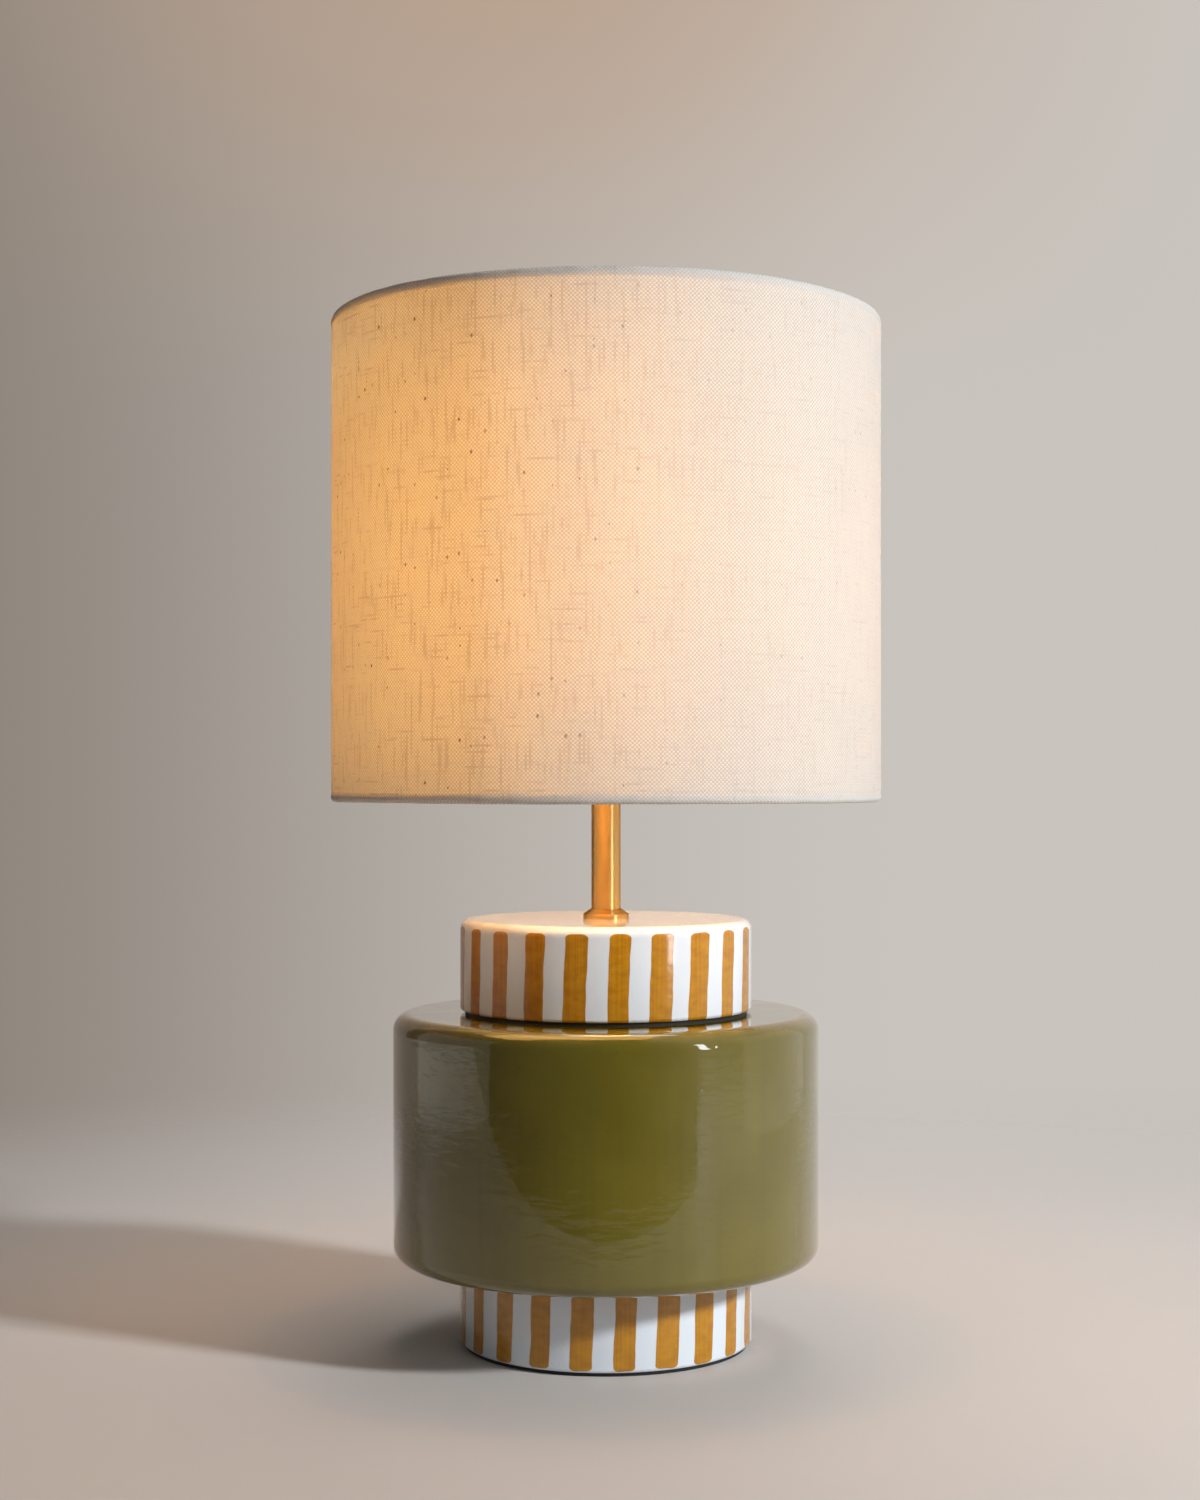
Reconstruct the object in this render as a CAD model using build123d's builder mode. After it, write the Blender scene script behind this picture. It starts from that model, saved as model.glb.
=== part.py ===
"""Ceramic table lamp: glazed drums, brass stem, switched lampholder, bulb and linen drum shade.

Millimetres, +Z up. The origin is on the lamp's axis, at the underside of the foot pad. The front faces -Y.
"""

import os
from math import acos, cos, degrees, radians, sin, sqrt

from build123d import *

os.makedirs("parts", exist_ok=True)

# Glazed ceramic drums
FOOT_RADIUS = 80.0
FOOT_HEIGHT = 44.0
FOOT_TOP_ROUND = 4.0
FOOT_BASE_ROUND = 1.8
BODY_RADIUS = 116.5
BODY_HEIGHT = 133.5
BODY_TOP_ROUND = 9.0
BODY_BASE_ROUND = 8.0
CAP_RADIUS = 80.0
CAP_HEIGHT = 49.5
CAP_TOP_ROUND = 5.5
CAP_BASE_ROUND = 1.8
CERAMIC_WALL = 6.0
INNER_ROUND = 3.0
RIM_ROUND = 0.8
CASTING_HOLE_RADIUS = 14.0

# Pad under the foot and gaskets between the drums
PAD_THICKNESS = 2.0
PAD_INSET = 0.7
GASKET_THICKNESS = 1.5
GASKET_INSET = 1.0
GASKET_WIDTH = 9.0

# Hollow threaded rod that clamps the stack, with its nuts, washer and plate
ROD_RADIUS = 5.0
ROD_BORE_RADIUS = 4.0
ROD_TAIL = 4.0
ROD_CLEARANCE = 0.3
THREAD_CLEARANCE = 0.05
NUT_FLATS = 15.0
NUT_HEIGHT = 5.0
NUT_CHAMFER = 0.6
WASHER_RADIUS = 8.8
WASHER_THICKNESS = 1.6
WASHER_SLIT = 1.5
PLATE_RADIUS = 36.0
PLATE_THICKNESS = 2.0

# Grommet where the cord enters the back of the foot
GROMMET_RISE = 14.0
GROMMET_RADIUS = 6.0
GROMMET_LIP_RADIUS = 8.5
GROMMET_LIP_THICKNESS = 2.2
GROMMET_LIP_ROUND = 0.9
GROMMET_CLEARANCE = 0.1
CORD_BORE_RADIUS = 3.6

# Brass stem and collar
COLLAR_RADIUS = 12.5
COLLAR_HEIGHT = 5.2
COLLAR_RIM = 2.5
COLLAR_RIM_ROUND = 0.7
COLLAR_NECK_WALL = 0.7
COLLAR_FLOOR = 2.0
STEM_RADIUS = 8.0
STEM_BORE_RADIUS = 6.4
STEM_LENGTH = 69.0
STEM_CLEARANCE = 0.1

# Lampholder: lower cup, ceramic insert and threaded upper skirt
BOSS_RADIUS = 9.0
BOSS_HEIGHT = 6.0
DOME_HEIGHT = 14.0
CUP_RADIUS = 20.0
CUP_FLOOR = 1.2
CUP_WALL = 1.0
LEDGE_WIDTH = 0.8
LEDGE_RISE = 13.0
HOLDER_CLEARANCE = 0.2
INSERT_FLANGE = 2.0
INSERT_FLOOR = 5.5
INSERT_WALL = 3.0
INSERT_HEIGHT = 25.0
SPIGOT_DEPTH = 2.0
SHOULDER_RADIUS = 23.0
SHOULDER_THICKNESS = 2.4
SKIRT_RADIUS = 19.5
SKIRT_WALL = 1.9
SKIRT_THREAD = 23.0
SHELL_WALL = 0.6
SHELL_HEIGHT = 18.0
SHELL_FLOOR = 0.6
SHELL_EYE_RADIUS = 8.0
CONTACT_WIDTH = 5.0
CONTACT_LENGTH = 9.6
CONTACT_RISE = 2.9
CONTACT_THICKNESS = 0.5
TERMINAL_SPACING = 23.0
TERMINAL_HEAD_RADIUS = 2.8
TERMINAL_HEAD_HEIGHT = 2.0
TERMINAL_SHANK_RADIUS = 1.5
TERMINAL_DEPTH = 4.0
TERMINAL_SLOT = 0.8

# Push-through switch in the cup
BAR_RISE = 7.0
BAR_RADIUS = 2.4
BAR_TRAVEL = 6.0
BAR_END_GAP = 0.4
BAR_CLEARANCE = 0.1
BUSH_RADIUS = 4.2
BUSH_PROUD = 2.5
BUSH_INSIDE = 1.0
BUTTON_RADIUS = 3.8
BUTTON_LENGTH = 7.5
BUTTON_SOCKET = 4.0
BUTTON_ROUND = 1.4
BRIDGE_LENGTH = 10.0
BRIDGE_WALL = 0.7
LEAF_WIDTH = 4.0
LEAF_THICKNESS = 0.5
LEAF_FOOT = 4.0
LEAF_GAP = 0.3

# Ring that clamps the shade on the lampholder
RING_RADIUS = 27.0
RING_FLANGE = 2.6
RING_HUB_WALL = 3.6
RING_HEIGHT = 10.0
RING_CLEARANCE = 0.3
RING_GRIPS = 16
RING_GRIP_RADIUS = 1.6
RING_GRIP_DEPTH = 0.8

# Opal bulb with a screw cap
BULB_LENGTH = 108.0
BULB_RADIUS = 30.0
BULB_CAP_RADIUS = 13.3
BULB_CAP_WALL = 0.5
BULB_CAP_TAPER = 3.2
BULB_CAP_RIM = 26.5
BULB_TIP_RADIUS = 4.8
BULB_TIP_HEIGHT = 1.6
BULB_TIP_CHAMFER = 0.8
INSULATOR_RADIUS = 9.6
INSULATOR_HEIGHT = 2.8
NECK_FLARE = 40.0
NECK_SOCKET = 6.5
GLASS_WALL = 1.0
BULB_GAP = 0.3
BULB_FIT = 0.2

# Drum shade: linen cover, liner, wire hoops and the three-armed fitter
SHADE_RADIUS = 150.0
SHADE_HEIGHT = 262.0
FABRIC_THICKNESS = 0.5
LINER_THICKNESS = 0.4
GLUE_GAP = 0.1
HEM_TAIL = 3.0
SEAM_WIDTH = 12.0
SEAM_ANGLE = 80.0
HOOP_WIRE_RADIUS = 1.6
HOOP_CLEARANCE = 0.2
FITTER_RING_RADIUS = 30.0
FITTER_RING_THICKNESS = 1.6
FITTER_CLEARANCE = 0.5
FITTER_RISE = 46.2
FITTER_ARMS = 3
FIRST_ARM_ANGLE = 90.0
ARM_WIRE_RADIUS = 1.6
ARM_FLAT = 26.0
ARM_BEND_RADIUS = 10.0
ARM_SHOULDER_GAP = 1.2
ARM_NOTCH_GAP = 1.5
WELD_GAP = 0.05

# Heights of the stack
foot_base = PAD_THICKNESS
foot_top = foot_base + FOOT_HEIGHT
body_base = foot_top + GASKET_THICKNESS
body_top = body_base + BODY_HEIGHT
cap_base = body_top + GASKET_THICKNESS
cap_top = cap_base + CAP_HEIGHT
stem_base = cap_top + COLLAR_FLOOR
stem_top = stem_base + STEM_LENGTH
plate_top = foot_top - CERAMIC_WALL
washer_top = plate_top - PLATE_THICKNESS
bottom_nut_top = washer_top - WASHER_THICKNESS
bottom_nut_base = bottom_nut_top - NUT_HEIGHT
grommet_height = foot_base + GROMMET_RISE

# Heights and radii in the lampholder
dome_base = stem_top + BOSS_HEIGHT
cup_floor = dome_base + CUP_FLOOR
cup_wall_base = dome_base + DOME_HEIGHT
bar_height = cup_wall_base + BAR_RISE
ledge_height = cup_wall_base + LEDGE_RISE
flange_top = ledge_height + INSERT_FLANGE
cup_top = flange_top + SPIGOT_DEPTH
shoulder_top = cup_top + SHOULDER_THICKNESS
skirt_top = shoulder_top + SKIRT_THREAD
well_floor = ledge_height + INSERT_FLOOR
contact_top = well_floor + CONTACT_RISE
rod_hole_radius = ROD_RADIUS + ROD_CLEARANCE
cup_inner_radius = CUP_RADIUS - CUP_WALL
ledge_radius = cup_inner_radius - LEDGE_WIDTH
flange_radius = cup_inner_radius - HOLDER_CLEARANCE
skirt_inner_radius = SKIRT_RADIUS - SKIRT_WALL
insert_radius = skirt_inner_radius - HOLDER_CLEARANCE
well_radius = insert_radius - INSERT_WALL
shell_radius = well_radius - HOLDER_CLEARANCE

# Places along the switch bar
bush_end = CUP_RADIUS + BUSH_PROUD
left_button_face = -(bush_end + BAR_END_GAP)
right_button_face = bush_end + BAR_END_GAP + BAR_TRAVEL
bridge_radius = BAR_RADIUS + BRIDGE_WALL

# Heights in the bulb
bulb_base = contact_top + BULB_GAP
insulator_base = bulb_base + BULB_TIP_HEIGHT
cap_shell_base = insulator_base + INSULATOR_HEIGHT
cap_shell_rim = bulb_base + BULB_CAP_RIM
globe_centre = bulb_base + BULB_LENGTH - BULB_RADIUS
neck_radius = BULB_CAP_RADIUS - BULB_CAP_WALL - BULB_FIT

# Heights and radii in the shade
fitter_base = shoulder_top
fitter_top = fitter_base + FITTER_RING_THICKNESS
ring_base = fitter_top + RING_CLEARANCE
shade_base = fitter_base - FITTER_RISE
shade_top = shade_base + SHADE_HEIGHT
roll_bore = (GLUE_GAP + LINER_THICKNESS) / 2 + HOOP_CLEARANCE + HOOP_WIRE_RADIUS
roll_radius = roll_bore + FABRIC_THICKNESS
roll_centre = SHADE_RADIUS - roll_radius
base_roll_height = shade_base + roll_radius
top_roll_height = shade_top - roll_radius
hoop_radius = roll_centre - (GLUE_GAP + LINER_THICKNESS) / 2
arm_angles = [FIRST_ARM_ANGLE + index * 360 / FITTER_ARMS for index in range(FITTER_ARMS)]


def save(builder, label):
    """Label a finished piece and write it to its own STEP file."""
    builder.part.label = label
    export_step(builder.part, f"parts/{label}.step")


def round_corner(profile, x, y, radius):
    """Round the corner of an open sketch that is nearest to a point."""
    fillet(profile.vertices().sort_by_distance((x, y))[0], radius)


def flat_ring(base, thickness, outer_radius, inner_radius):
    """A flat washer about the lamp's axis."""
    with BuildPart() as ring:
        with BuildSketch(Plane.XY.offset(base)):
            Circle(outer_radius)
            Circle(inner_radius, mode=Mode.SUBTRACT)
        extrude(amount=thickness)
    return ring


def hex_nut(base):
    """A chamfered nut on the threaded rod."""
    with BuildPart() as nut:
        with BuildSketch(Plane.XY.offset(base)):
            RegularPolygon(NUT_FLATS / 2, 6, major_radius=False)
        extrude(amount=NUT_HEIGHT)
        chamfer(nut.edges().filter_by(Plane.XY), NUT_CHAMFER)
        with BuildSketch(Plane.XY.offset(base)):
            Circle(ROD_RADIUS + THREAD_CLEARANCE)
        extrude(amount=NUT_HEIGHT, mode=Mode.SUBTRACT)
    return nut


def open_drum_outline(profile, radius, base, height, top_round, base_round):
    """Draw half of a ceramic drum cast with one deck at its top, a hole for the rod and an open base."""
    inner = radius - CERAMIC_WALL
    top = base + height
    deck = top - CERAMIC_WALL
    Polygon(
        (inner, base),
        (radius, base),
        (radius, top),
        (rod_hole_radius, top),
        (rod_hole_radius, deck),
        (inner, deck),
        align=None,
    )
    round_corner(profile, radius, top, top_round)
    round_corner(profile, radius, base, base_round)
    round_corner(profile, inner, base, RIM_ROUND)
    round_corner(profile, inner, deck, INNER_ROUND)


def wire_hoop(height):
    """A round wire hoop inside a rolled hem of the shade."""
    with BuildPart() as hoop:
        with BuildSketch(Plane.XZ):
            with Locations((hoop_radius, height)):
                Circle(HOOP_WIRE_RADIUS)
        revolve(axis=Axis.Z)
    return hoop


# Pad glued under the rim of the foot
with BuildPart() as foot_pad:
    with BuildSketch(Plane.XY):
        Circle(FOOT_RADIUS - FOOT_BASE_ROUND - PAD_INSET)
    extrude(amount=PAD_THICKNESS)
save(foot_pad, "foot_pad")

# Striped foot, with a hole in its back wall for the grommet
with BuildPart() as foot_drum:
    with BuildSketch(Plane.XZ) as foot_profile:
        open_drum_outline(foot_profile, FOOT_RADIUS, foot_base, FOOT_HEIGHT, FOOT_TOP_ROUND, FOOT_BASE_ROUND)
    revolve(axis=Axis.Z)
    with BuildSketch(Plane.XZ):
        with Locations((0, grommet_height)):
            Circle(GROMMET_RADIUS + GROMMET_CLEARANCE)
    extrude(amount=-2 * FOOT_RADIUS, mode=Mode.SUBTRACT)
save(foot_drum, "foot_drum")

# Grommet gripping the wall between its two lips
wall_inner = FOOT_RADIUS - CERAMIC_WALL
inner_lip_face = sqrt(wall_inner**2 - GROMMET_LIP_RADIUS**2) - GROMMET_CLEARANCE
inner_lip_end = inner_lip_face - GROMMET_LIP_THICKNESS
outer_lip_face = FOOT_RADIUS + GROMMET_CLEARANCE
outer_lip_end = outer_lip_face + GROMMET_LIP_THICKNESS
grommet_bore = grommet_height + CORD_BORE_RADIUS
grommet_waist = grommet_height + GROMMET_RADIUS
grommet_lip = grommet_height + GROMMET_LIP_RADIUS
with BuildPart() as cord_grommet:
    with BuildSketch(Plane.YZ) as grommet_profile:
        Polygon(
            (inner_lip_end, grommet_bore),
            (outer_lip_end, grommet_bore),
            (outer_lip_end, grommet_lip),
            (outer_lip_face, grommet_lip),
            (outer_lip_face, grommet_waist),
            (inner_lip_face, grommet_waist),
            (inner_lip_face, grommet_lip),
            (inner_lip_end, grommet_lip),
            align=None,
        )
        round_corner(grommet_profile, outer_lip_end, grommet_lip, GROMMET_LIP_ROUND)
        round_corner(grommet_profile, inner_lip_end, grommet_lip, GROMMET_LIP_ROUND)
    revolve(axis=Axis((0, 0, grommet_height), (0, 1, 0)))
save(cord_grommet, "cord_grommet")

# Gasket rings under the body and under the cap
foot_gasket_radius = FOOT_RADIUS - FOOT_TOP_ROUND - GASKET_INSET
foot_gasket = flat_ring(foot_top, GASKET_THICKNESS, foot_gasket_radius, foot_gasket_radius - GASKET_WIDTH)
save(foot_gasket, "foot_gasket")

cap_gasket_radius = CAP_RADIUS - CAP_BASE_ROUND - GASKET_INSET
cap_gasket = flat_ring(body_top, GASKET_THICKNESS, cap_gasket_radius, cap_gasket_radius - GASKET_WIDTH)
save(cap_gasket, "cap_gasket")

# Olive body: a closed drum with a casting hole in each deck
body_inner = BODY_RADIUS - CERAMIC_WALL
with BuildPart() as body_drum:
    with BuildSketch(Plane.XZ) as body_profile:
        Polygon(
            (CASTING_HOLE_RADIUS, body_base),
            (BODY_RADIUS, body_base),
            (BODY_RADIUS, body_top),
            (CASTING_HOLE_RADIUS, body_top),
            (CASTING_HOLE_RADIUS, body_top - CERAMIC_WALL),
            (body_inner, body_top - CERAMIC_WALL),
            (body_inner, body_base + CERAMIC_WALL),
            (CASTING_HOLE_RADIUS, body_base + CERAMIC_WALL),
            align=None,
        )
        round_corner(body_profile, BODY_RADIUS, body_top, BODY_TOP_ROUND)
        round_corner(body_profile, BODY_RADIUS, body_base, BODY_BASE_ROUND)
        round_corner(body_profile, body_inner, body_top - CERAMIC_WALL, INNER_ROUND)
        round_corner(body_profile, body_inner, body_base + CERAMIC_WALL, INNER_ROUND)
    revolve(axis=Axis.Z)
save(body_drum, "body_drum")

# Striped cap
with BuildPart() as cap_drum:
    with BuildSketch(Plane.XZ) as cap_profile:
        open_drum_outline(cap_profile, CAP_RADIUS, cap_base, CAP_HEIGHT, CAP_TOP_ROUND, CAP_BASE_ROUND)
    revolve(axis=Axis.Z)
save(cap_drum, "cap_drum")

# Plate, split spring washer and nut under the foot's deck
clamp_plate = flat_ring(washer_top, PLATE_THICKNESS, PLATE_RADIUS, rod_hole_radius)
save(clamp_plate, "clamp_plate")

with BuildPart() as spring_washer:
    with BuildSketch(Plane.XY.offset(bottom_nut_top)):
        Circle(WASHER_RADIUS)
        Circle(rod_hole_radius, mode=Mode.SUBTRACT)
        Rectangle(
            2 * WASHER_RADIUS,
            WASHER_SLIT,
            align=(Align.MIN, Align.CENTER),
            mode=Mode.SUBTRACT,
        )
    extrude(amount=WASHER_THICKNESS)
save(spring_washer, "spring_washer")

bottom_nut = hex_nut(bottom_nut_base)
save(bottom_nut, "bottom_nut")

# Nut on the floor of the lampholder's cup
rod_top_nut = hex_nut(cup_floor)
save(rod_top_nut, "rod_top_nut")

# Hollow rod through the whole stack
rod_base = bottom_nut_base - ROD_TAIL
rod_length = cup_floor + NUT_HEIGHT + ROD_TAIL - rod_base
threaded_rod = flat_ring(rod_base, rod_length, ROD_RADIUS, ROD_BORE_RADIUS)
save(threaded_rod, "threaded_rod")

# Flanged collar with a conical neck round the foot of the stem
collar_seat_radius = STEM_RADIUS + STEM_CLEARANCE
collar_neck_radius = collar_seat_radius + COLLAR_NECK_WALL
collar_top = cap_top + COLLAR_HEIGHT
with BuildPart() as stem_collar:
    with BuildSketch(Plane.XZ) as collar_profile:
        Polygon(
            (rod_hole_radius, cap_top),
            (COLLAR_RADIUS, cap_top),
            (COLLAR_RADIUS, cap_top + COLLAR_RIM),
            (collar_neck_radius, collar_top),
            (collar_seat_radius, collar_top),
            (collar_seat_radius, stem_base),
            (rod_hole_radius, stem_base),
            align=None,
        )
        round_corner(collar_profile, COLLAR_RADIUS, cap_top + COLLAR_RIM, COLLAR_RIM_ROUND)
    revolve(axis=Axis.Z)
save(stem_collar, "stem_collar")

stem_tube = flat_ring(stem_base, STEM_LENGTH, STEM_RADIUS, STEM_BORE_RADIUS)
save(stem_tube, "stem_tube")

# Lampholder's lower cup: boss on the stem, domed floor, wall with a ledge inside and holes for the switch
with BuildPart() as lampholder_cup:
    with BuildSketch(Plane.XZ):
        with BuildLine():
            Polyline(
                (BOSS_RADIUS, dome_base),
                (BOSS_RADIUS, stem_top),
                (rod_hole_radius, stem_top),
                (rod_hole_radius, cup_floor),
                (BOSS_RADIUS, cup_floor),
            )
            EllipticalCenterArc(
                (BOSS_RADIUS, cup_wall_base),
                ledge_radius - BOSS_RADIUS,
                DOME_HEIGHT - CUP_FLOOR,
                start_angle=270,
                arc_size=90,
            )
            Polyline(
                (ledge_radius, cup_wall_base),
                (ledge_radius, ledge_height),
                (cup_inner_radius, ledge_height),
                (cup_inner_radius, cup_top),
                (CUP_RADIUS, cup_top),
                (CUP_RADIUS, cup_wall_base),
            )
            EllipticalCenterArc(
                (BOSS_RADIUS, cup_wall_base),
                CUP_RADIUS - BOSS_RADIUS,
                DOME_HEIGHT,
                start_angle=270,
                arc_size=90,
            )
        make_face()
    revolve(axis=Axis.Z)
    with BuildSketch(Plane.YZ):
        with Locations((0, bar_height)):
            Circle(BUSH_RADIUS + THREAD_CLEARANCE)
    extrude(amount=2 * CUP_RADIUS, both=True, mode=Mode.SUBTRACT)
save(lampholder_cup, "lampholder_cup")

# Ceramic insert: a flange on the ledge, a well for the screw shell and two terminal holes below
terminal_places = GridLocations(1, TERMINAL_SPACING, 1, 2)
with BuildPart() as lampholder_insert:
    with BuildSketch(Plane.XZ):
        Polygon(
            (0, ledge_height),
            (flange_radius, ledge_height),
            (flange_radius, flange_top),
            (insert_radius, flange_top),
            (insert_radius, ledge_height + INSERT_HEIGHT),
            (well_radius, ledge_height + INSERT_HEIGHT),
            (well_radius, well_floor),
            (0, well_floor),
            align=None,
        )
    revolve(axis=Axis.Z)
    with BuildSketch(Plane.XY.offset(ledge_height)):
        with terminal_places:
            Circle(TERMINAL_SHANK_RADIUS + THREAD_CLEARANCE)
    extrude(amount=TERMINAL_DEPTH, mode=Mode.SUBTRACT)
save(lampholder_insert, "lampholder_insert")

with BuildPart() as terminal_screws:
    with BuildSketch(Plane.XY.offset(ledge_height)):
        with terminal_places:
            Circle(TERMINAL_SHANK_RADIUS)
    extrude(amount=TERMINAL_DEPTH - THREAD_CLEARANCE)
    with BuildSketch(Plane.XY.offset(ledge_height)):
        with terminal_places:
            Circle(TERMINAL_HEAD_RADIUS)
    extrude(amount=-TERMINAL_HEAD_HEIGHT)
    with BuildSketch(Plane.XY.offset(ledge_height - TERMINAL_HEAD_HEIGHT)):
        with terminal_places:
            Rectangle(2 * TERMINAL_HEAD_RADIUS, TERMINAL_SLOT)
    extrude(amount=TERMINAL_HEAD_HEIGHT / 2, mode=Mode.SUBTRACT)
save(terminal_screws, "terminal_screws")

# Screw shell standing in the insert's well
with BuildPart() as screw_shell:
    with BuildSketch(Plane.XZ):
        Polygon(
            (SHELL_EYE_RADIUS, well_floor),
            (shell_radius, well_floor),
            (shell_radius, well_floor + SHELL_HEIGHT),
            (shell_radius - SHELL_WALL, well_floor + SHELL_HEIGHT),
            (shell_radius - SHELL_WALL, well_floor + SHELL_FLOOR),
            (SHELL_EYE_RADIUS, well_floor + SHELL_FLOOR),
            align=None,
        )
    revolve(axis=Axis.Z)
save(screw_shell, "screw_shell")

# Folded spring tongue under the bulb's contact
contact_start = -CONTACT_LENGTH / 2
contact_end = CONTACT_LENGTH / 2
with BuildPart() as centre_contact:
    with BuildSketch(Plane.XZ):
        Polygon(
            (contact_start, well_floor),
            (contact_end, well_floor),
            (contact_end, well_floor + 2 * CONTACT_THICKNESS),
            (contact_start / 2, contact_top),
            (contact_start / 2, contact_top - CONTACT_THICKNESS),
            (contact_end - 2 * CONTACT_THICKNESS, well_floor + CONTACT_THICKNESS),
            (contact_start, well_floor + CONTACT_THICKNESS),
            align=None,
        )
    extrude(amount=CONTACT_WIDTH / 2, both=True)
save(centre_contact, "centre_contact")

# Threaded upper skirt: spigot in the cup, shoulder for the shade's fitter, thread for the shade ring
with BuildPart() as lampholder_skirt:
    with BuildSketch(Plane.XZ):
        Polygon(
            (skirt_inner_radius, flange_top),
            (flange_radius, flange_top),
            (flange_radius, cup_top),
            (SHOULDER_RADIUS, cup_top),
            (SHOULDER_RADIUS, shoulder_top),
            (SKIRT_RADIUS, shoulder_top),
            (SKIRT_RADIUS, skirt_top),
            (skirt_inner_radius, skirt_top),
            align=None,
        )
    revolve(axis=Axis.Z)
save(lampholder_skirt, "lampholder_skirt")

# Bushes that guide the switch bar through the cup's wall
bush_start = ledge_radius - BUSH_INSIDE
with BuildPart() as switch_bushes:
    for side in (1, -1):
        with BuildSketch(Plane.YZ.offset(side * bush_start)):
            with Locations((0, bar_height)):
                Circle(BUSH_RADIUS)
                Circle(BAR_RADIUS + BAR_CLEARANCE, mode=Mode.SUBTRACT)
        extrude(amount=side * (bush_end - bush_start))
save(switch_bushes, "switch_bushes")

# Switch bar, its two buttons and the bridge that closes the contacts
bar_start = left_button_face - BUTTON_SOCKET + BAR_CLEARANCE
bar_end = right_button_face + BUTTON_SOCKET - BAR_CLEARANCE
with BuildPart() as switch_bar:
    with BuildSketch(Plane.YZ.offset(bar_start)):
        with Locations((0, bar_height)):
            Circle(BAR_RADIUS)
    extrude(amount=bar_end - bar_start)
save(switch_bar, "switch_bar")

with BuildPart() as switch_buttons:
    for side, face in ((1, right_button_face), (-1, left_button_face)):
        with BuildSketch(Plane.YZ.offset(face)):
            with Locations((0, bar_height)):
                Circle(BUTTON_RADIUS)
        extrude(amount=side * BUTTON_LENGTH)
        fillet(switch_buttons.edges().sort_by(Axis.X, reverse=side > 0)[0], BUTTON_ROUND)
        with BuildSketch(Plane.YZ.offset(face)):
            with Locations((0, bar_height)):
                Circle(BAR_RADIUS + THREAD_CLEARANCE)
        extrude(amount=side * BUTTON_SOCKET, mode=Mode.SUBTRACT)
save(switch_buttons, "switch_buttons")

leaf_start = BAR_TRAVEL / 2
with BuildPart() as switch_bridge:
    with BuildSketch(Plane.YZ.offset(leaf_start + LEAF_WIDTH - BRIDGE_LENGTH)):
        with Locations((0, bar_height)):
            Circle(bridge_radius)
            Circle(BAR_RADIUS + THREAD_CLEARANCE, mode=Mode.SUBTRACT)
    extrude(amount=BRIDGE_LENGTH)
save(switch_bridge, "switch_bridge")

# Two contact leaves that hang from the insert beside the bridge
leaf_face = bridge_radius + LEAF_GAP
leaf_back = leaf_face + LEAF_THICKNESS
with BuildPart() as switch_contacts:
    with BuildSketch(Plane.YZ.offset(leaf_start)):
        Polygon(
            (leaf_face, bar_height - BAR_RADIUS),
            (leaf_back, bar_height - BAR_RADIUS),
            (leaf_back, ledge_height - LEAF_THICKNESS),
            (leaf_back + LEAF_FOOT, ledge_height - LEAF_THICKNESS),
            (leaf_back + LEAF_FOOT, ledge_height),
            (leaf_face, ledge_height),
            align=None,
        )
        mirror(about=Plane.YZ)
    extrude(amount=LEAF_WIDTH)
save(switch_contacts, "switch_contacts")

# Shade ring with grip grooves round its flange
ring_inner_radius = SKIRT_RADIUS + RING_CLEARANCE
ring_hub_radius = ring_inner_radius + RING_HUB_WALL
with BuildPart() as shade_ring:
    with BuildSketch(Plane.XY.offset(ring_base)):
        Circle(RING_RADIUS)
        with PolarLocations(RING_RADIUS + RING_GRIP_RADIUS - RING_GRIP_DEPTH, RING_GRIPS):
            Circle(RING_GRIP_RADIUS, mode=Mode.SUBTRACT)
    extrude(amount=RING_FLANGE)
    with BuildSketch(Plane.XY.offset(ring_base)):
        Circle(ring_hub_radius)
    extrude(amount=RING_HEIGHT)
    with BuildSketch(Plane.XY.offset(ring_base)):
        Circle(ring_inner_radius)
    extrude(amount=RING_HEIGHT, mode=Mode.SUBTRACT)
save(shade_ring, "shade_ring")

# Bulb: contact button, insulator, screw cap and opal globe
with BuildPart() as bulb_contact:
    with BuildSketch(Plane.XY.offset(bulb_base)):
        Circle(BULB_TIP_RADIUS)
    extrude(amount=BULB_TIP_HEIGHT)
    chamfer(bulb_contact.edges().sort_by(Axis.Z)[0], BULB_TIP_CHAMFER)
save(bulb_contact, "bulb_contact")

with BuildPart() as bulb_insulator:
    with BuildSketch(Plane.XZ):
        Polygon(
            (0, insulator_base),
            (BULB_TIP_RADIUS, insulator_base),
            (INSULATOR_RADIUS, cap_shell_base),
            (0, cap_shell_base),
            align=None,
        )
    revolve(axis=Axis.Z)
save(bulb_insulator, "bulb_insulator")

cap_taper_top = cap_shell_base + BULB_CAP_TAPER
with BuildPart() as bulb_cap:
    with BuildSketch(Plane.XZ):
        Polygon(
            (BULB_TIP_RADIUS, cap_shell_base),
            (INSULATOR_RADIUS, cap_shell_base),
            (BULB_CAP_RADIUS, cap_taper_top),
            (BULB_CAP_RADIUS, cap_shell_rim),
            (BULB_CAP_RADIUS - BULB_CAP_WALL, cap_shell_rim),
            (BULB_CAP_RADIUS - BULB_CAP_WALL, cap_taper_top),
            (INSULATOR_RADIUS - BULB_CAP_WALL, cap_shell_base + BULB_CAP_WALL),
            (BULB_TIP_RADIUS, cap_shell_base + BULB_CAP_WALL),
            align=None,
        )
    revolve(axis=Axis.Z)
save(bulb_cap, "bulb_cap")

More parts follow.
